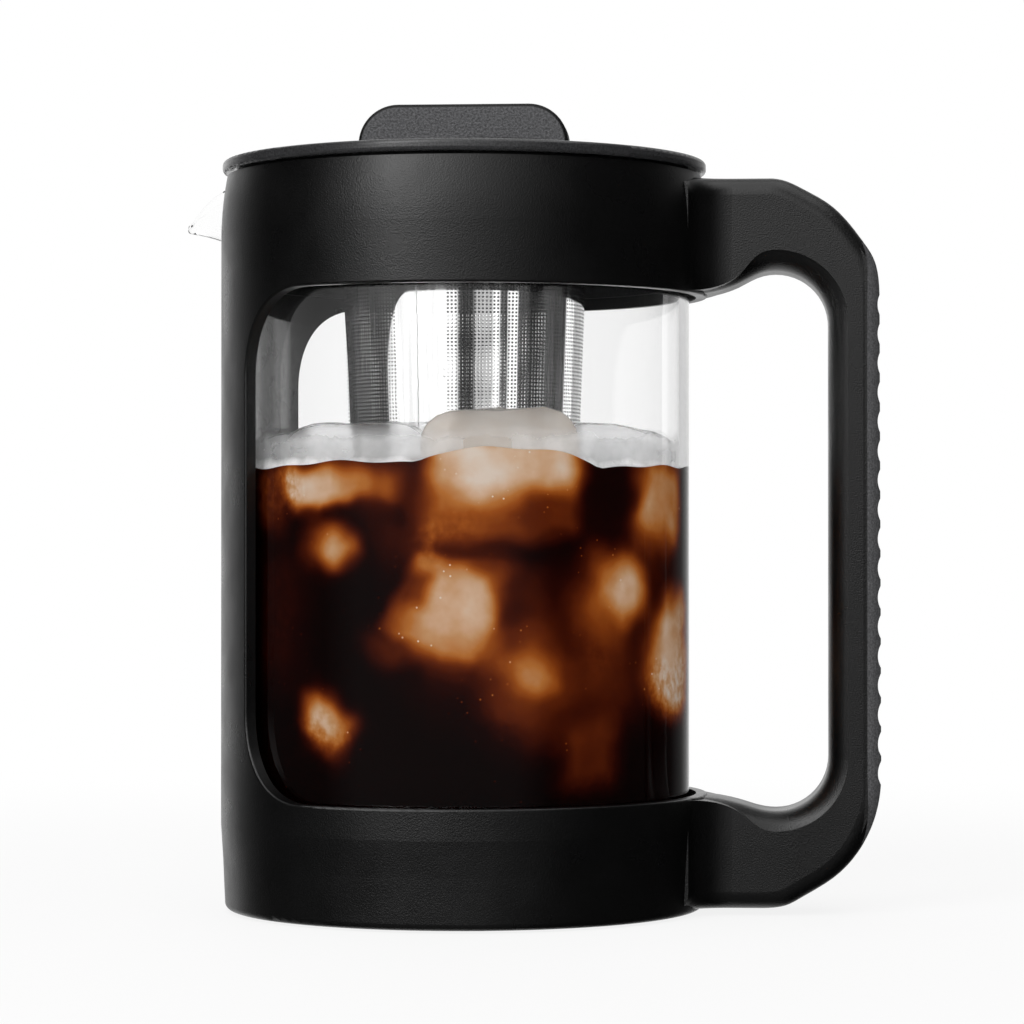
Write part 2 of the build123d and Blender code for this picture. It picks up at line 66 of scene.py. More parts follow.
# %% Camera
front_turn = radians(5.0)
camera_distance = 0.84
camera_height = 0.085
camera_tilt = radians(90.44)
camera_pan = radians(-0.748)
lens_length = 127.9
sensor_width = 36.0

camera_data = bpy.data.cameras.new("camera")
camera_data.lens = lens_length
camera_data.sensor_width = sensor_width
camera = bpy.data.objects.new("camera", camera_data)
camera.location = (
    camera_distance * sin(front_turn),
    -camera_distance * cos(front_turn),
    camera_height,
)
camera.rotation_euler = (camera_tilt, 0, front_turn + camera_pan)
bpy.context.scene.collection.objects.link(camera)
bpy.context.scene.camera = camera
print("camera at", [round(v, 3) for v in camera.location])

# %% [markdown]
# ## Helpers for nodes
#
# A material is a small graph of nodes. The first helper adds a node, and fills each socket that
# it is given: a socket of another node is linked, and a number or colour is written into it. The
# others add the few kinds of node that nearly every graph here needs.


# %% Node helpers
def add_node(tree, kind, inputs=None, **settings):
    node = tree.nodes.new("ShaderNode" + kind)
    for name, value in settings.items():
        setattr(node, name, value)
    for socket, source in (inputs or {}).items():
        if isinstance(source, bpy.types.NodeSocket):
            tree.links.new(source, node.inputs[socket])
        else:
            node.inputs[socket].default_value = source
    return node


def calculate(tree, operation, *values, clamp=False):
    node = add_node(tree, "Math", dict(enumerate(values)), operation=operation, use_clamp=clamp)
    return node.outputs[0]


def calculate_vector(tree, operation, *values, output="Vector"):
    node = add_node(tree, "VectorMath", dict(enumerate(values)), operation=operation)
    return node.outputs[output]


def vary(tree, value, low, high, start=0.35, end=0.65, curve="LINEAR"):
    """Spreads what lies between start and end over low to high, and holds it there beyond."""
    spread = add_node(
        tree, "MapRange",
        {"Value": value, "From Min": start, "From Max": end, "To Min": low, "To Max": high},
        interpolation_type=curve,
    )
    return spread.outputs["Result"]


def color_ramp(tree, value, stops):
    node = add_node(tree, "ValToRGB", {"Fac": value})
    for number, (position, color) in enumerate(stops):
        if number < 2:
            stop = node.color_ramp.elements[number]
            stop.position = position
        else:
            stop = node.color_ramp.elements.new(position)
        stop.color = (*color, 1)
    return node.outputs["Color"]


def blend(tree, factor, first, second):
    first, second = [(v, v, v, 1) if isinstance(v, float) else v for v in (first, second)]
    mix = add_node(tree, "Mix", {"Factor": factor, "A": first, "B": second}, data_type="RGBA")
    return mix.outputs["Result"]


print("node helpers are ready")

# %% [markdown]
# ## Helpers for surfaces
#
# Nearly every real surface has a fine grain that only shows in the highlights, and a gloss that
# isn't quite the same everywhere. Noise makes both. All patterns read Object coordinates, so
# they stay on the surface when a piece moves.


# %% Surface helpers
def start_material(name, color, roughness, **sockets):
    material = bpy.data.materials.new(name)
    material.use_nodes = True
    material.diffuse_color = (*color, 1)
    tree = material.node_tree
    shader = tree.nodes["Principled BSDF"]
    shader.inputs["Base Color"].default_value = (*color, 1)
    shader.inputs["Roughness"].default_value = roughness
    for socket, value in sockets.items():
        shader.inputs[socket.replace("_", " ")].default_value = value
    return material, tree, shader


def object_place(tree):
    return add_node(tree, "TexCoord").outputs["Object"]


def object_noise(tree, scale, detail=2.0, stretch=(1, 1, 1)):
    stretched = add_node(tree, "Mapping", {"Vector": object_place(tree), "Scale": stretch})
    texture = add_node(
        tree, "TexNoise",
        {"Vector": stretched.outputs["Vector"], "Scale": scale, "Detail": detail},
    )
    return texture.outputs["Fac"]


def tint(tree, value, dark, light):
    return color_ramp(tree, value, ((0.35, dark), (0.65, light)))


def add_bump(tree, shader, height, strength, depth):
    bump = add_node(tree, "Bump", {"Height": height, "Strength": strength, "Distance": depth})
    tree.links.new(bump.outputs["Normal"], shader.inputs["Normal"])


print("surface helpers are ready")

# %% [markdown]
# ## Moulded plastic
#
# The jacket is black plastic from a spark-eroded mould: a fine even grain that softens the
# highlights. The lid is glossier and a shade lighter, and the knob's coarse grain catches more
# light. One noise drives the grain's colour and its bump, so each grain is light where it
# stands up and dark where it dips. A slower noise changes the gloss a little from place to place.
# An image of the grain would do as well, but noise has no seams and needs no file.

# %% Plastics
grain_dark = (0.62, 0.62, 0.65)
grain_light = (1.42, 1.42, 1.48)
grain_bump = 0.6
gloss_change = 0.05


def moulded_plastic(name, shade, roughness, grain, grain_depth):
    material, tree, shader = start_material(name, (shade, shade, shade * 1.04), roughness)
    grains = object_noise(tree, grain, 2)
    dark, light = [[shade * v for v in share] for share in (grain_dark, grain_light)]
    tree.links.new(tint(tree, grains, dark, light), shader.inputs["Base Color"])
    patches = object_noise(tree, 70, 3)
    gloss = vary(tree, patches, roughness - gloss_change, roughness + gloss_change)
    tree.links.new(gloss, shader.inputs["Roughness"])
    add_bump(tree, shader, grains, grain_bump, grain_depth)
    return material


# Each line: name, shade, roughness, scale of the grain, depth of the grain in metres
plastics = (
    ("jacket_plastic", 0.002, 0.32, 3000, 0.00011),
    ("lid_plastic", 0.03, 0.22, 2900, 0.00004),
    ("knob_plastic", 0.1, 0.5, 2000, 0.0004),
    ("inner_plastic", 0.004, 0.5, 1500, 0.00005),
    ("grip_rubber", 0.075, 0.62, 2600, 0.00006),
    ("silicone", 0.02, 0.55, 900, 0.00003),
)
finish = {line[0]: moulded_plastic(*line) for line in plastics}
print("plastics:", ", ".join(finish))

# %% [markdown]
# ## The knob's edges: painted shade
#
# The flat sides of the knob's bar have the coarse grain. Its rounded edges and its top have no
# grain colour and are painted nearly black: painted shade for the dark room that they mirror.
# The bar lies along X, so the distance from its middle plane tells a flat side from an edge, and
# the height tells the bar from the disc under it. A second material on some faces would work
# too, but a mask in space gives a soft border between the two.

# %% Knob edges with painted shade
knob_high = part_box("knob_grip")[1]
bar_side = 4.5 * MM
bar_foot = knob_high.z - 10.6 * MM
painted_edge_shade = 0.003
knob_mirror_share = 0.25

tree = finish["knob_plastic"].node_tree
shader = tree.nodes["Principled BSDF"]
shader.inputs["Specular IOR Level"].default_value = knob_mirror_share
grained = shader.inputs["Base Color"].links[0].from_socket
split = add_node(tree, "SeparateXYZ", {"Vector": object_place(tree)})
aside = calculate(tree, "ABSOLUTE", split.outputs["Y"])
on_side = vary(tree, aside, 0.0, 1.0, bar_side - 0.1 * MM, bar_side - 0.005 * MM)
on_disc = vary(tree, split.outputs["Z"], 1.0, 0.0, bar_foot, bar_foot + 0.3 * MM)
outside_painted_shade = calculate(tree, "MAXIMUM", on_side, on_disc)
# The bar's rounded edges and top are painted nearly black: painted shade for the dark
# surroundings they mirror.
tree.links.new(blend(tree, outside_painted_shade, painted_edge_shade, grained), shader.inputs["Base Color"])
print("knob bar from", round(bar_foot / MM, 1), "to", round(knob_high.z / MM, 1), "mm")

# %% [markdown]
# ## Steel
#
# The filter is rolled from bright sheet. The rolling leaves faint upright streaks, so the noise
# is stretched along Z. It drives the shade, the roughness and a very shallow bump, which draws
# the reflections of the studio out into upright bands. Anisotropy alone would stretch them too,
# but it wouldn't show the streaks themselves.

# %% Steels
streak_scale = 900
streak_stretch = (1, 1, 0.01)
streak_depth = 0.03 * MM


def bright_steel(name, shade, low, high, streak):
    material, tree, shader = start_material(name, (shade, shade, shade), high, Metallic=1.0)
    streaks = object_noise(tree, streak_scale, 3, stretch=streak_stretch)
    dark = (shade * 0.86,) * 3
    light = (min(shade * 1.1, 1.0),) * 3
    tree.links.new(tint(tree, streaks, dark, light), shader.inputs["Base Color"])
    tree.links.new(vary(tree, streaks, low, high), shader.inputs["Roughness"])
    add_bump(tree, shader, streaks, streak, streak_depth)
    return material


finish["filter_steel"] = bright_steel("filter_steel", 0.86, 0.03, 0.08, 0.08)
finish["polished_steel"] = bright_steel("polished_steel", 0.8, 0.06, 0.12, 0.1)
print("steels:", finish["filter_steel"].name, finish["polished_steel"].name)

# %% [markdown]
# ## Give the solids their finish
#
# The record that comes with the solids names a finish for each of them. The solids are never
# changed: only the material in their slots is.

# %% Assign the finishes
for part in frame["record"]["subparts"]:
    solid = solids[part["node"]]
    chosen = finish.get(part["material_slot"])
    if chosen:
        solid.data.materials.clear()
        solid.data.materials.append(chosen)
        print(part["node"], "->", chosen.name)

# %% [markdown]
# ## Helpers for new pieces
#
# A new piece is a mesh whose object stays at the origin, so its place is in its points, as it is
# in the solids. It rides on the body that carries it, and it may stand for a solid. Most pieces
# here are round, so one helper spins an outline about the jug's axis, and another gives the
# points of an arc in such an outline.


# %% Piece helpers
def make_piece(name, bm, material, body, stands_for=(), crease=40):
    mesh = bpy.data.meshes.new(name)
    bm.to_mesh(mesh)
    bm.free()
    mesh.materials.append(material)
    for polygon in mesh.polygons:
        polygon.use_smooth = True
    mesh.set_sharp_from_angle(angle=radians(crease))
    piece = bpy.data.objects.new(name, mesh)
    bpy.context.scene.collection.objects.link(piece)
    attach(piece, body)
    if stands_for:
        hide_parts(*stands_for)
    print(name, "faces:", len(mesh.polygons))
    return piece


def spin_outline(bm, outline, steps):
    points = [bm.verts.new((-r, 0, z)) for r, z in outline]
    lines = [bm.edges.new(pair) for pair in zip(points, points[1:])]
    bmesh.ops.spin(
        bm, geom=points + lines, cent=(0, 0, 0), axis=(0, 0, 1), angle=2 * pi, steps=steps,
        use_merge=True,
    )
    bmesh.ops.remove_doubles(bm, verts=bm.verts, dist=0.01 * MM)
    bmesh.ops.recalc_face_normals(bm, faces=bm.faces)


def arc(center, radius, start, end, count):
    steps = [radians(start + (end - start) * i / count) for i in range(count + 1)]
    return [(center[0] + radius * cos(a), center[1] + radius * sin(a)) for a in steps]


def upright_edges(bm):
    return [e for e in bm.edges if abs(e.verts[0].co.z - e.verts[1].co.z) > MM]


print("piece helpers are ready")

# %% [markdown]
# ## Clear glass
#
# Borosilicate glass is clear and smooth, and bends light with an index of 1.47. The wall is
# given a little less, and a low mirror share, so that what it mirrors doesn't lie like a haze
# over the dark drink behind it. The spout's lip is curled so tightly that it would throw all
# light back and turn black. Its glass bends light less still, and shows as a thin outline.

# %% Glass
wall_index = 1.4
spout_index = 1.12
smear_roughness = 0.012


def clear_glass(name, index):
    material, tree, shader = start_material(
        name, (1.0, 1.0, 1.0), 0.0, Transmission_Weight=1.0, IOR=index, Specular_IOR_Level=0.15
    )
    smears = vary(tree, object_noise(tree, 40, 2), 0.0, smear_roughness)
    tree.links.new(smears, shader.inputs["Roughness"])
    return material


wall_glass = clear_glass("clear_glass", wall_index)
spout_glass = clear_glass("spout_glass", spout_index)
print("glass finishes:", wall_glass.name, spout_glass.name)

# %% [markdown]
# ## The jug
#
# A jug like this is blown as a straight glass, and its spout is pulled out of the hot rim with a
# tool. It is made the same way here: an outline is spun round the axis, then the points of the
# rim on the spout's side are pulled outwards and down, most in the middle and less to the sides.
# Only then does the skin get its thickness, so the wall is as even as glass is.

# %% Jug sizes
low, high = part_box("glass_vessel")
jug_r = high.x
jug_floor = low.z
jug_rim = high.z
jug_wall = 2.2 * MM
heel_r = 6 * MM
rim_round = 0.75 * MM
rim_angle = 1.0
fine_rows_from = 147 * MM
fine_rows = 24
jug_steps = 360
print("jug radius", round(jug_r / MM, 1), "rim at", round(jug_rim / MM, 1))

# %% Spout sizes
spout_half_width = 12.0 * MM
spout_foot = jug_rim - 14.4 * MM
spout_reach = -low.x - jug_r
spout_fall = 10.4 * MM
lip_rise = 0.6 * MM
spout_side_curve = 1.6
spout_rise_curve = 1.2
print("spout reach", round(spout_reach / MM, 1), "fall", round(spout_fall / MM, 1))


# %% Spout pull
def pull_spout(point):
    side = atan2(point.y, -point.x) / asin(spout_half_width / jug_r)
    rise = (point.z - spout_foot) / (jug_rim - spout_foot)
    if abs(side) >= 1 or rise <= 0:
        return
    pull = (1 - side * side) ** spout_side_curve
    out = rise**spout_rise_curve * pull
    point.x -= spout_reach * out
    point.z -= spout_fall * out - rise**2 * spout_fall * pull * (1 - pull) - lip_rise * out


print("the spout starts at", round(spout_foot / MM, 1), "mm")

# %% Jug outline
jug_outline = [(r * MM, jug_floor) for r in (0, 20, 36)]
jug_outline += arc((jug_r - heel_r, jug_floor + heel_r), heel_r, -90, 0, 8)
jug_outline += [(jug_r, z * MM) for z in (30, 60, 90, 120, 140)]
row_height = (jug_rim - fine_rows_from) / fine_rows
jug_outline += [(jug_r, fine_rows_from + row_height * i) for i in range(fine_rows + 1)]
print("points in the outline:", len(jug_outline))

# %% Jug
bm = bmesh.new()
spin_outline(bm, jug_outline, jug_steps)
for vert in bm.verts:
    pull_spout(vert.co)
bmesh.ops.recalc_face_normals(bm, faces=bm.faces)
bmesh.ops.solidify(bm, geom=bm.faces[:], thickness=jug_wall)
rim_edges = [
    e for e in bm.edges
    if len(e.link_faces) == 2
    and e.calc_face_angle(0) > rim_angle
    and e.verts[0].co.z > spout_foot
]
bmesh.ops.bevel(
    bm, geom=rim_edges, offset=rim_round, segments=4, profile=0.5, affect="EDGES", material=-1
)
jug = make_piece("jug", bm, wall_glass, "glass", ["glass_vessel"], crease=70)

# %% Spout glass
spout_start = -jug_r - 2.5 * MM
jug.data.materials.append(spout_glass)
spout_faces = [p for p in jug.data.polygons if p.center.x < spout_start]
for polygon in spout_faces:
    polygon.material_index = 1
print("faces of the spout:", len(spout_faces))

# %% [markdown]
# ## The filter's perforated sheet
#
# The filter is a tapered steel tube with thousands of fine holes, closed by a plain seam. A
# pattern of see-through dots could stand for them, but holes in the mesh look right from near
# and from far, and show the thickness of the sheet. A cone is divided
# into one small cell for each hole, each cell gets an inset face, and the inset faces are taken
# out. The cells along the seam and at both ends stay whole. The tube is made in four lengths,
# so that no mesh gets too heavy.

# %% Filter sizes
filter_low, filter_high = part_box("filter_tube")
filter_top_r = filter_high.x
filter_taper = 0.0375
hole_pitch = 0.85 * MM
hole_edge = 0.28 * MM
sheet_t = 0.4 * MM
columns = 200
seam_start, seam_end = -119.0, -94.5
plain_ends = 5.0 * MM


def filter_radius(z):
    return filter_top_r - filter_taper * (filter_high.z - z)


print("filter radius at the top in mm:", round(filter_top_r / MM, 1))


# %% Filter
def on_seam(face):
    center = face.calc_center_median()
    return seam_start < degrees(atan2(center.y, center.x)) < seam_end


def perforated_length(name, low_z, high_z):
    bm = bmesh.new()
    rows = round((high_z - low_z) / hole_pitch)
    middle = Matrix.Translation((0, 0, (low_z + high_z) / 2))
    bmesh.ops.create_cone(
        bm, cap_ends=False, segments=columns, radius1=filter_radius(low_z),
        radius2=filter_radius(high_z), depth=high_z - low_z, matrix=middle,
    )
    bmesh.ops.subdivide_edges(bm, edges=upright_edges(bm), cuts=rows - 1, use_grid_fill=True)
    bmesh.ops.recalc_face_normals(bm, faces=bm.faces)
    top, foot = filter_high.z - plain_ends, filter_low.z + plain_ends
    cells = [f for f in bm.faces if foot < f.calc_center_median().z < top and not on_seam(f)]
    bmesh.ops.inset_individual(bm, faces=cells, thickness=hole_edge)
    bmesh.ops.delete(bm, geom=cells, context="FACES")
    bmesh.ops.solidify(bm, geom=bm.faces[:], thickness=sheet_t)
    steel = finish["filter_steel"]
    make_piece(name, bm, steel, "filter", ["filter_tube"], crease=30)


lengths = ("filter_foot", "filter_low", "filter_middle", "filter_neck")
length = (filter_high.z - filter_low.z) / len(lengths)
cuts = [filter_low.z + length * i for i in range(len(lengths) + 1)]
for part_name, start, end in zip(lengths, cuts, cuts[1:]):
    perforated_length(part_name, start, end)

# %% [markdown]
# ## The weld
#
# Where the two edges of the sheet meet, a weld leaves a thin uneven bead from top to bottom. A
# slim box is divided along its length, and noise moves its points by up to a quarter of a
# millimetre.

# %% Weld bead
weld_angle = radians(-108.0)
weld_height, weld_width = 0.3 * MM, 0.5 * MM
weld_cuts = 140
wobble_scale, wobble_reach = 420, 0.25 * MM

bm = bmesh.new()
bmesh.ops.create_cube(bm, size=1)
weld_size = (weld_height, weld_width, filter_high.z - filter_low.z)
bmesh.ops.scale(bm, vec=weld_size, verts=bm.verts)
bmesh.ops.subdivide_edges(bm, edges=upright_edges(bm), cuts=weld_cuts, use_grid_fill=True)
for vert in bm.verts:
    wobble = noise.noise((vert.co.z * wobble_scale, 0, 0)) * wobble_reach
    z = vert.co.z + (filter_low.z + filter_high.z) / 2
    vert.co = Vector((filter_radius(z) + vert.co.x, vert.co.y + wobble, z))
weld_turn = Matrix.Rotation(weld_angle, 3, "Z")
bmesh.ops.rotate(bm, verts=bm.verts, cent=(0, 0, 0), matrix=weld_turn)
make_piece("filter_weld", bm, finish["polished_steel"], "filter")

# %% [markdown]
# ## Cold coffee
#
# Coffee with ice is dark and clear at once: nearly black where it is deep, and amber to cream
# where a lump of ice lies just behind the glass and lets light through. Tracing that light is
# slow and noisy. Here the drink is one solid body, and its colour comes from soft boxes in
# space: near a box the colour is pale, and away from it the colour runs through amber and red
# brown to black. The boxes are placed in front, and the pattern is folded over to the back,
# where it sits a little lower. A slow noise bends the space, so that no box has a straight edge.

# %% Space of the drink's pattern
fold_depth = 30 * MM
fold_drop = 13 * MM
swirl_scale = 55
swirl_reach = 10 * MM

coffee_material, tree, shader = start_material(
    "coffee", (0.01, 0.003, 0.001), 0.3, Specular_IOR_Level=0.0
)
facing = add_node(
    tree, "Mapping", {"Vector": object_place(tree), "Rotation": (0, 0, -front_turn)}
)
split = add_node(tree, "SeparateXYZ", {"Vector": facing.outputs["Vector"]})
folded_y = calculate(tree, "MULTIPLY", calculate(tree, "ABSOLUTE", split.outputs["Y"]), -1.0)
lift = vary(tree, split.outputs["Y"], 0.0, fold_drop, 0.0, fold_depth, "SMOOTHSTEP")
lifted_z = calculate(tree, "ADD", split.outputs["Z"], lift)
folded = add_node(
    tree, "CombineXYZ", {"X": split.outputs["X"], "Y": folded_y, "Z": lifted_z}
).outputs["Vector"]
swirl = add_node(tree, "TexNoise", {"Vector": folded, "Scale": swirl_scale, "Detail": 2})
shift = calculate_vector(tree, "SUBTRACT", swirl.outputs["Color"], (0.5, 0.5, 0.5))
shift = calculate_vector(tree, "MULTIPLY", shift, (swirl_reach,) * 3)
space = calculate_vector(tree, "ADD", folded, shift)
print("the pattern is bent by up to", swirl_reach / 2 / MM, "mm")

# %% Soft box helper
box_reach = 50 * MM
box_depth = 12


def what_is_left(tree, space, angle, z, half_width, half_height, turn, strength, soft):
    """One away from a soft box, and less near it: what the box leaves of the darkness."""
    place = add_node(
        tree, "Mapping",
        {
            "Vector": space,
            "Location": (
                box_reach * sin(radians(angle)), -box_reach * cos(radians(angle)), z * MM
            ),
            "Rotation": (0, radians(turn), radians(angle)),
        },
        vector_type="TEXTURE",
    )
    aside = calculate_vector(tree, "ABSOLUTE", place.outputs["Vector"])
    half_size = (half_width * MM, box_depth * MM, half_height * MM)
    past = calculate_vector(tree, "SUBTRACT", aside, half_size)
    past = calculate_vector(tree, "MAXIMUM", past, (0, 0, 0))
    far = calculate_vector(tree, "LENGTH", past, output="Value")
    return vary(tree, far, 1.0 - strength, 1.0, 0.0, soft * MM, "SMOOTHSTEP")


print("soft boxes lie", box_reach / MM, "mm from the axis")

# %% Lumps of ice in the drink
# Each line: side angle, height, half width, half height, turn, strength, softness
lumps = (
    (-39.1, 97.3, 8.5, 1, 3, 0.6, 5.5),
    (-42.6, 97.6, 5, 0.8, 3, 0.94, 8),
    (-25.5, 96.8, 3, 0.6, 3, 0.5, 9),
    (-59.6, 94.9, 1, 2, 0, 0.46, 10),
    (-37.5, 83.9, 3, 0.5, 24, 0.46, 9),
    (-33.7, 83.7, 0.4, 0.3, 30, 0.72, 8),
    (9.8, 95.9, 13.5, 7.5, 2, 0.38, 6),
    (10.4, 101.6, 12, 2, -1, 0.96, 9),
    (0.1, 89.4, 6, 4.5, 0, 0.32, 9),
    (-4.1, 70.3, 8.5, 8.5, 22, 0.42, 4.5),
    (0.7, 77.9, 7, 1, 6, 0.36, 7),
    (-2.3, 68.6, 0.8, 1.5, 20, 0.82, 14),
    (-18.3, 62.1, 2.5, 0.8, -30, 0.34, 7),
    (-2.3, 61, 6, 1, 8, 0.26, 8),
    (12.3, 67.6, 2.5, 6, -12, 0.24, 9),
    (38.6, 74.6, 1.2, 3, 6, 0.42, 12),
    (44.6, 75, 0.4, 1, 6, 0.86, 9),
    (60.5, 94.3, 4, 3.5, 8, 0.8, 12),
    (67.7, 58.8, 4.5, 7, 0, 0.88, 12),
    (-37.5, 44.1, 3.4, 2.4, 24, 0.55, 8),
    (-39.4, 45.7, 1.2, 0.6, 24, 0.66, 10),
    (17, 55.5, 0.3, 0.6, 12, 0.66, 7.5),
    (15, 50.1, 1.5, 4.5, 12, 0.28, 12),
    (33.7, 36.8, 3, 3, -6, 0.32, 9),
    (13.5, 63.2, 13, 8, 10, 0.2, 18),
    (53.4, 68.6, 6, 14, 0, 0.22, 18),
    (30.5, 54.4, 8, 4, 0, 0.15, 15),
    (-55.1, 68.6, 2, 8, 0, 0.16, 15),
    (-14.5, 92.1, 3, 6, 0, 0.22, 12),
    (44.2, 90.5, 6, 5, 0, 0.1, 12),
)
print("lumps:", len(lumps))

# %% Dark gaps between the lumps
# Each line has the same order
gaps = (
    (9.8, 83.1, 13.5, 0.1, 5, 0.3, 2.2),
    (-10.6, 75, 1.2, 1.6, 10, 0.34, 5),
    (12.5, 72.5, 1.2, 2.8, -12, 0.34, 5),
    (39.4, 92.1, 2, 4, 8, 0.6, 8),
    (-26.8, 90.7, 9, 0.2, 4, 0.3, 3),
)
print("gaps:", len(gaps))

# %% Glow of the drink
darkness = what_is_left(tree, space, *lumps[0])
for lump in lumps[1:]:
    left = what_is_left(tree, space, *lump)
    darkness = calculate(tree, "MULTIPLY", darkness, left)
glow = calculate(tree, "SUBTRACT", 1.0, darkness)
for gap in gaps:
    glow = calculate(tree, "MULTIPLY", glow, what_is_left(tree, space, *gap))
print("soft boxes in the drink:", len(lumps) + len(gaps))

# %% [markdown]
# ## What breaks up the drink's colour
#
# Melting ice leaves clouds and fine upright streaks in the coffee, its faces are rough in
# places, and small bubbles catch the light. Each of them is a noise that makes the glow a little
# stronger or weaker. A ramp then turns the glow into the drink's colour.

# %% Clouds, streaks and roughness
clouds = vary(tree, object_noise(tree, 70, 4), 0.88, 1.06)
streaks = vary(tree, object_noise(tree, 150, 1, stretch=(1, 1, 0.03)), 0.97, 1.03)
crumbs = vary(tree, object_noise(tree, 480, 3), -0.15, 0.05)
rough_places = vary(tree, object_noise(tree, 38, 1), 0.0, 1.0, 0.5, 0.6)
crumbs = calculate(tree, "MULTIPLY_ADD", crumbs, rough_places, 1.0)
for change in (clouds, streaks, crumbs):
    glow = calculate(tree, "MULTIPLY", glow, change)
print("clouds, streaks and roughness are in the drink")

# %% Bubbles and colour
bubble_scale = 420
cells = add_node(tree, "TexVoronoi", {"Vector": object_place(tree), "Scale": bubble_scale})
bubbles = vary(tree, cells.outputs["Distance"], 0.3, 0.0, 0.07, 0.11)
bubble_places = vary(tree, object_noise(tree, 60, 1), 0.0, 1.0, 0.48, 0.6)
glow = calculate(tree, "MULTIPLY_ADD", bubbles, bubble_places, glow)
drink_colors = (
    (0.0, (0.004, 0.0007, 0.0006)),
    (0.1, (0.011, 0.0009, 0.0005)),
    (0.2, (0.03, 0.003, 0.0008)),
    (0.3, (0.07, 0.009, 0.0018)),
    (0.4, (0.14, 0.022, 0.004)),
    (0.5, (0.26, 0.052, 0.007)),
    (0.6, (0.43, 0.11, 0.015)),
    (0.7, (0.6, 0.22, 0.05)),
    (0.8, (0.69, 0.37, 0.17)),
    (0.9, (0.82, 0.58, 0.4)),
    (1.0, (0.9, 0.78, 0.67)),
)
tree.links.new(color_ramp(tree, glow, drink_colors), shader.inputs["Base Color"])
print("colours from black to cream:", len(drink_colors))

# %% [markdown]
# ## The body of the drink
#
# The coffee fills the jug up to a few centimetres under the band. It is spun from an outline
# that runs a hair into the glass wall, so no film of air shows between them. Its surface creeps
# up a little at the glass and where ice pushes it up.

# %% Drink sizes
drink_r = jug_r - jug_wall + 0.15 * MM
drink_floor = jug_floor + jug_wall + 0.05 * MM
drink_top = 101 * MM
drink_heel_r = heel_r - jug_wall
creep_up, creep_in = 0.6 * MM, 0.7 * MM
surface_dip = 0.4 * MM
surface_depth = 1.5 * MM
drink_steps = 180
swell_place = radians(12.0)
swell_half = radians(24.0)
swell_rise = 3.2 * MM
print("drink radius", round(drink_r / MM, 2), "top at", round(drink_top / MM, 1))

# %% Coffee body
drink_outline = [(0, drink_floor), (30 * MM, drink_floor)]
drink_outline += arc(
    (drink_r - drink_heel_r, drink_floor + drink_heel_r), drink_heel_r, -90, 0, 6
)
drink_outline += [(drink_r, z * MM) for z in (30, 50, 70, 90, 98)]
drink_outline += [(drink_r, drink_top + creep_up), (drink_r - creep_in, drink_top)]
drink_outline += [(r * MM, drink_top - surface_dip) for r in (46, 40, 32, 24, 12, 0)]

bm = bmesh.new()
spin_outline(bm, drink_outline, drink_steps)
for vert in bm.verts:
    if vert.co.z > drink_top - surface_depth:
        around = atan2(vert.co.x, -vert.co.y) - front_turn
        near_wall = min(hypot(vert.co.x, vert.co.y) / drink_r, 1.0) ** 4
        ripple = 0.5 * sin(3 * around + 2.6) + 0.3 * sin(8 * around) + 0.25 * sin(19 * around)
        hill = max(0.0, 1 - ((around - swell_place) / swell_half) ** 4)
        vert.co.z += (ripple * MM + hill * swell_rise) * near_wall
make_piece("coffee", bm, coffee_material, "glass")

# %% [markdown]
# ## Ice
#
# The ice floats in a ring between filter and glass, and its tops stand clear of the coffee. Melt
# has rounded the cubes, and frost makes them milky: they let light through but bend it hardly
# at all. One lump in front has soaked up some coffee, which gives it a warm tint. A divided cube
# is rounded towards an inner box, roughened with noise and bent round the jug's axis. The noise
# of a vector starts from offsets drawn at random, so a seed keeps the ice the same in each run.


# %% Ice finishes
def milky_ice(name, dark, light, clearness):
    material, tree, shader = start_material(
        name, light, 0.5, Transmission_Weight=clearness, IOR=1.03, Specular_IOR_Level=0.05
    )
    frost = object_noise(tree, 110, 4)
    tree.links.new(vary(tree, frost, 0.45, 0.65), shader.inputs["Roughness"])
    tree.links.new(tint(tree, frost, dark, light), shader.inputs["Base Color"])
    add_bump(tree, shader, frost, 0.3, 0.6 * MM)
    return material


clear_ice = milky_ice("clear_ice", (0.92, 0.925, 0.93), (0.98, 0.985, 0.99), 0.85)
steeped_ice = milky_ice("steeped_ice", (0.93, 0.85, 0.77), (0.98, 0.93, 0.87), 0.4)
print("ice finishes:", clear_ice.name, steeped_ice.name)

# %% Rounded cube
lump_cuts = 9


def round_cube(bm, half, radius):
    bmesh.ops.create_cube(bm, size=2)
    bmesh.ops.subdivide_edges(bm, edges=bm.edges[:], cuts=lump_cuts, use_grid_fill=True)
    bmesh.ops.scale(bm, vec=half, verts=bm.verts)
    for vert in bm.verts:
        inner = Vector([max(min(c, h - radius), radius - h) for c, h in zip(vert.co, half)])
        away = vert.co - inner
        if away.length > 0:
            vert.co = inner + away.normalized() * radius


print("faces along a cube:", lump_cuts + 1)

# %% Ice lump
lump_half_thick = 10.0 * MM
lump_corner_r = 6.5 * MM
lump_rough_scale, lump_rough_reach = 90, 0.9 * MM
lump_gap, least_gap = 0.4 * MM, 0.25 * MM


def ice_lump(name, material, side, top, half_width, half_height, tilt, seed):
    middle_r = drink_r - lump_gap - lump_half_thick
    bm = bmesh.new()
    round_cube(bm, (half_width * MM, lump_half_thick, half_height * MM), lump_corner_r)
    tilted = Matrix.Rotation(radians(tilt), 3, "Y")
    bmesh.ops.rotate(bm, verts=bm.verts, cent=(0, 0, 0), matrix=tilted)
    turn = front_turn + radians(side)
    for vert in bm.verts:
        where = vert.co * lump_rough_scale + Vector((seed, seed, 0))
        place = vert.co + noise.noise_vector(where) * lump_rough_reach
        reach = min(middle_r + place.y, drink_r - least_gap)
        around = turn + place.x / middle_r
        z = place.z + (top - half_height) * MM
        vert.co = Vector((reach * sin(around), -reach * cos(around), z))
    bmesh.ops.recalc_face_normals(bm, faces=bm.faces)
    make_piece(name, bm, material, "glass", crease=180)


print("a lump is", 2 * lump_half_thick / MM, "mm thick")

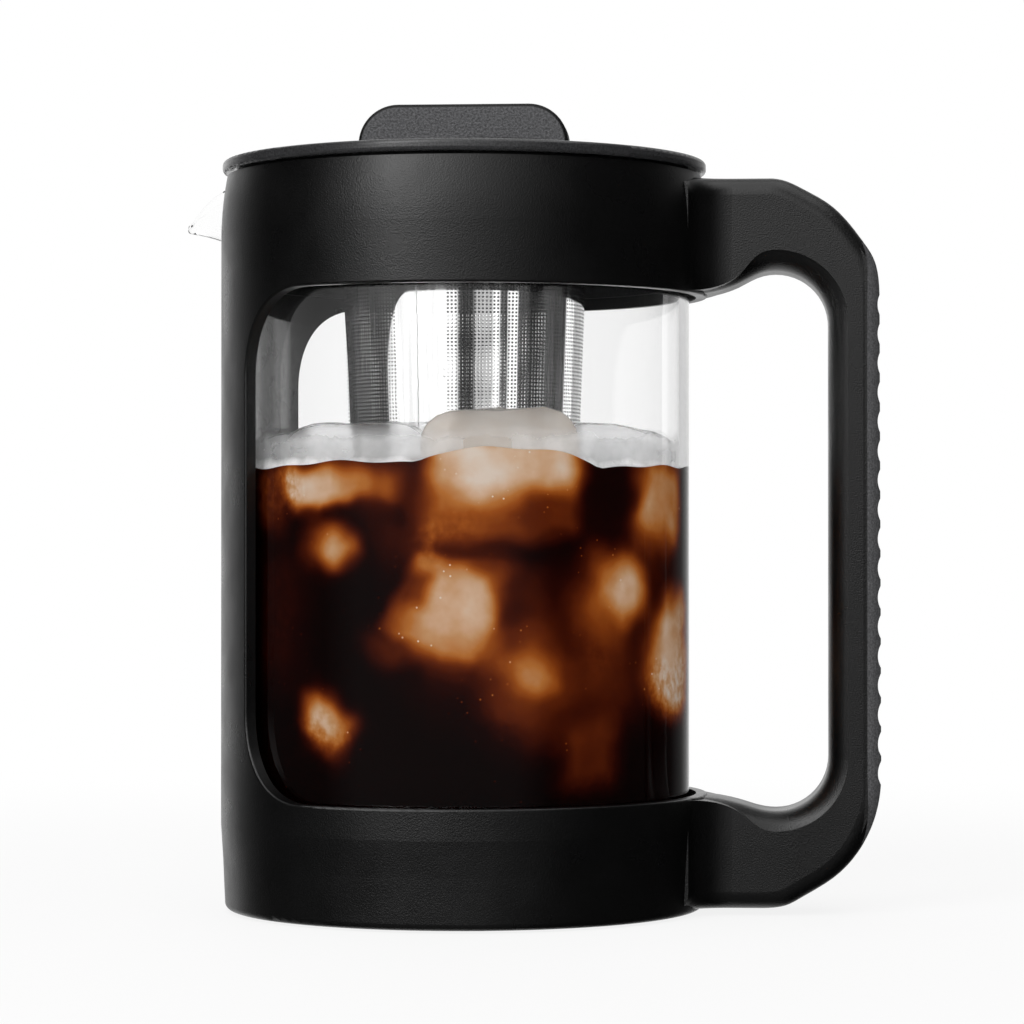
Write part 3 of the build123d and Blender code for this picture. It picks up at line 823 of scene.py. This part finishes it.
# %% Ring of ice
ice_seed = 5
# Each line: finish, side angle, top height, half width, half height, tilt
ice_places = (
    (clear_ice, -36, 110.5, 17, 10, 1),
    (steeped_ice, 11, 113.5, 16, 11, -2),
    (clear_ice, 55, 110.5, 17, 10, 2),
    (clear_ice, 100, 109, 15, 10, -5),
    (clear_ice, 146, 111, 17, 10, 4),
    (clear_ice, 192, 109.5, 16, 10, -3),
    (clear_ice, 236, 111.5, 15, 11, 5),
    (clear_ice, -81, 108.5, 14, 9, -4),
)
noise.seed_set(ice_seed)
for number, ice_place in enumerate(ice_places):
    ice_lump(f"ice_{number + 1}", *ice_place, seed=number * 3.1)

# %% [markdown]
# ## Frost on the glass
#
# Where the ice touches the wall, a film of frost fogs the glass. It is white and thick along its
# uneven foot, just over the coffee, and thins out to a straight upper edge. It also glows a
# little:
# a painted glow for the light from behind that shines through it. The film is a spun band a hair
# inside the wall, and a pattern of noise and height says how much of it is there.

# %% Frost finish
foot_thick, foot_thin = 0.1035, 0.1062
edge_full, edge_gone = 0.1088, 0.1118
ragged_reach = 4 * MM

# The emission is a painted glow: it stands in for the light from behind that shines through the
# frost.
frost_and_glow_material, tree, shader = start_material(
    "frost", (0.97, 0.975, 0.98), 0.7, Specular_IOR_Level=0.1, Emission_Strength=0.2
)
shader.inputs["Emission Color"].default_value = (1, 1, 1, 1)
split = add_node(tree, "SeparateXYZ", {"Vector": object_place(tree)})
uneven = object_noise(tree, 150, 3)
height = calculate(tree, "MULTIPLY_ADD", uneven, ragged_reach, split.outputs["Z"])
foot = vary(tree, height, 1.0, 0.0, foot_thick, foot_thin)
patches = vary(tree, object_noise(tree, 45, 3), 0.3, 0.58)
upper = vary(tree, height, 1.0, 0.0, edge_full, edge_gone)
cover = calculate(tree, "MAXIMUM", foot, calculate(tree, "MULTIPLY", patches, upper))
rime = vary(tree, object_noise(tree, 260, 5), 0.75, 1.0)
cover = calculate(tree, "MULTIPLY", cover, rime, clamp=True)
clear = add_node(tree, "BsdfTransparent")
film = add_node(tree, "MixShader", {0: cover, 1: clear.outputs[0], 2: shader.outputs[0]})
tree.links.new(film.outputs[0], tree.nodes["Material Output"].inputs["Surface"])
print("frost fades out between", edge_full / MM, "and", edge_gone / MM, "mm")

# %% Frost film
film_low, film_high = 0.1, 0.111
film_rows = 6
film_steps = 240
film_r = drink_r - 0.35 * MM
row_height = (film_high - film_low) / film_rows

film_outline = [(film_r, film_low + row_height * i) for i in range(film_rows + 1)]

bm = bmesh.new()
spin_outline(bm, film_outline, film_steps)
make_piece("frost", bm, frost_and_glow_material, "glass")

# %% [markdown]
# ## The studio
#
# The background is white in every view, but a black object in an all white room looks grey and
# flat. So only the camera, and what is seen straight through glass, get plain white. A ray that
# has been mirrored sees a room with screens. Off the outside of the maker that room is bright
# behind, has one soft light high in front on the left, and is dark to both sides and low in
# front, which keeps the plastic black and the lower glass clear. A ray that has been through the
# glass has met the steel. It sees another room, with upright panels and dark gaps between them,
# and those draw the bright and dark bands on the filter.


# %% Light paths
def has_been(tree, kind):
    """One for a ray that has been mirrored (Glossy) or has gone through glass (Transmission)."""
    path = add_node(tree, "LightPath")
    return calculate(tree, "GREATER_THAN", path.outputs[kind + " Depth"], 0.5)


def white_share(tree):
    """One for the camera's rays and for what is seen straight through glass."""
    path = add_node(tree, "LightPath").outputs
    seen = calculate(tree, "MAXIMUM", path["Is Camera Ray"], path["Is Transmission Ray"])
    return calculate(tree, "SUBTRACT", seen, has_been(tree, "Glossy"), clamp=True)


def smooth_step(tree, value, start, end):
    return vary(tree, value, 0.0, 1.0, start, end, "SMOOTHSTEP")


print("light path helpers are ready")

# %% Screens of the room
# Side angle from the front in degrees, and how bright the room is there
panels = (
    (-180, 1.1), (-132, 1.1), (-110, 1.0), (-80, 1.0), (-74, 1.1), (-71, 1.3), (-8, 1.3),
    (-5, 0.03), (8, 0.03), (11, 0.65), (26, 0.65), (28, 1.5), (33, 1.5), (34.5, 0.1), (41, 0.1),
    (42.5, 1.5), (51, 1.5), (53, 0.04), (112, 0.02), (115, 1.3), (129, 1.3), (132, 0.6),
    (180, 1.0),
)
above = (
    (-180, 1.1), (-150, 1.0), (-132, 0.15), (-118, 0.02), (-66, 0.03), (-52, 0.9), (-40, 2.2),
    (-15, 2.0), (8, 0.9), (26, 0.5), (38, 0.04), (112, 0.02), (150, 0.3), (162, 0.8), (180, 1.1),
)
table = (
    (-180, 1.0), (-150, 0.8), (-135, 0.25), (-120, 0.03), (-75, 0.04), (-55, 0.14), (25, 0.12),
    (45, 0.02), (130, 0.02), (146, 0.12), (156, 0.35), (168, 0.8), (180, 1.0),
)
print("stops round the room:", len(panels), len(above), len(table))

# %% Compass
world = bpy.data.worlds.new("studio")
world.use_nodes = True
bpy.context.scene.world = world
tree = world.node_tree
direction = add_node(tree, "TexCoord").outputs["Generated"]
facing = add_node(tree, "Mapping", {"Vector": direction, "Rotation": (0, 0, -front_turn)})
split = add_node(tree, "SeparateXYZ", {"Vector": facing.outputs["Vector"]})
toward = calculate(tree, "MULTIPLY", split.outputs["Y"], -1.0)
compass = calculate(tree, "ARCTAN2", split.outputs["X"], toward)
round_share = vary(tree, compass, 0.0, 1.0, -pi, pi)
print("the compass starts behind the jug and reads 0.5 in front")

# %% World
table_top, screens_foot = 0.01, 0.1
ceiling_foot, ceiling_full, ceiling_shade = 0.55, 0.9, 0.35
steep_start, steep_full, steep_shade = 0.18, 0.34, 1.0
background_white = 1.0

lower, upper, inside = [
    color_ramp(tree, round_share, [((angle + 180) / 360, (v, v, v)) for angle, v in level])
    for level in (table, above, panels)
]
height = split.outputs["Z"]
outside = blend(tree, smooth_step(tree, height, table_top, screens_foot), lower, upper)
steep = smooth_step(tree, calculate(tree, "ABSOLUTE", height), steep_start, steep_full)
inside = blend(tree, steep, inside, steep_shade)
room = blend(tree, has_been(tree, "Transmission"), outside, inside)
ceiling = smooth_step(tree, height, ceiling_foot, ceiling_full)
room = blend(tree, ceiling, room, ceiling_shade)
room = blend(tree, white_share(tree), room, background_white)
tree.links.new(room, tree.nodes["Background"].inputs["Color"])
print("world:", world.name)

# %% [markdown]
# ## The lamps
#
# Two large soft lamps light the object itself: a weak upright one high on the left, and a wide
# one overhead that also gives the soft shadow on the floor.

# %% Lamps
lamp_aim = Vector((0, 0, 0.09))


def soft_lamp(name, side, height, distance, width, tall, power):
    data = bpy.data.lights.new(name, "AREA")
    data.shape = "RECTANGLE"
    data.size = width
    data.size_y = tall
    data.energy = power
    lamp = bpy.data.objects.new(name, data)
    around = front_turn + radians(side)
    rise = radians(height)
    back = Vector((sin(around) * cos(rise), -cos(around) * cos(rise), sin(rise)))
    lamp.location = back * distance + lamp_aim
    lamp.rotation_euler = back.to_track_quat("Z", "Y").to_euler()
    bpy.context.scene.collection.objects.link(lamp)


# Each line: name, side angle, height angle, distance, width, height, power
lamps = (
    ("lamp_left", -33, 33, 1.2, 0.42, 0.95, 3),
    ("lamp_top", 10, 78, 1.3, 1.6, 1.4, 8),
)
for lamp_line in lamps:
    soft_lamp(*lamp_line)
print("lamps:", [lamp_line[0] for lamp_line in lamps])

# %% [markdown]
# ## The floor
#
# The floor is a plain pale sheet. For the camera most of its white comes from the material
# itself. The rest is lit near the jug, so the soft shadow stays, and fades into the background
# further out. Mirror rays pass through the floor and see the room, which goes on below it.

# %% Floor finish
lit_near, lit_far = 0.15, 0.5
near_white, far_white = 0.86, 1.0

floor_material, tree, shader = start_material("pale_floor", (0.9, 0.9, 0.9), 0.7)
away = calculate_vector(tree, "LENGTH", object_place(tree), output="Value")
share = vary(tree, away, near_white, far_white, lit_near, lit_far, "SMOOTHSTEP")
share = calculate(tree, "MULTIPLY", white_share(tree), share)
white = add_node(tree, "Emission")
pale = add_node(tree, "MixShader", {0: share, 1: shader.outputs[0], 2: white.outputs[0]})
clear = add_node(tree, "BsdfTransparent")
passed = add_node(
    tree, "MixShader", {0: has_been(tree, "Glossy"), 1: pale.outputs[0], 2: clear.outputs[0]}
)
tree.links.new(passed.outputs[0], tree.nodes["Material Output"].inputs["Surface"])
print("floor finish:", floor_material.name)

# %% Floor
floor_radius = 6.0

bm = bmesh.new()
bmesh.ops.create_circle(bm, cap_ends=True, radius=floor_radius, segments=96)
mesh = bpy.data.meshes.new("floor")
bm.to_mesh(mesh)
bm.free()
mesh.materials.append(floor_material)
floor = bpy.data.objects.new("floor", mesh)
bpy.context.scene.collection.objects.link(floor)
print("floor radius in m:", floor_radius)

# %% [markdown]
# ## Colour
#
# The Standard view shows colours as they are written.

# %% Finish
bpy.context.scene.view_settings.view_transform = "Standard"
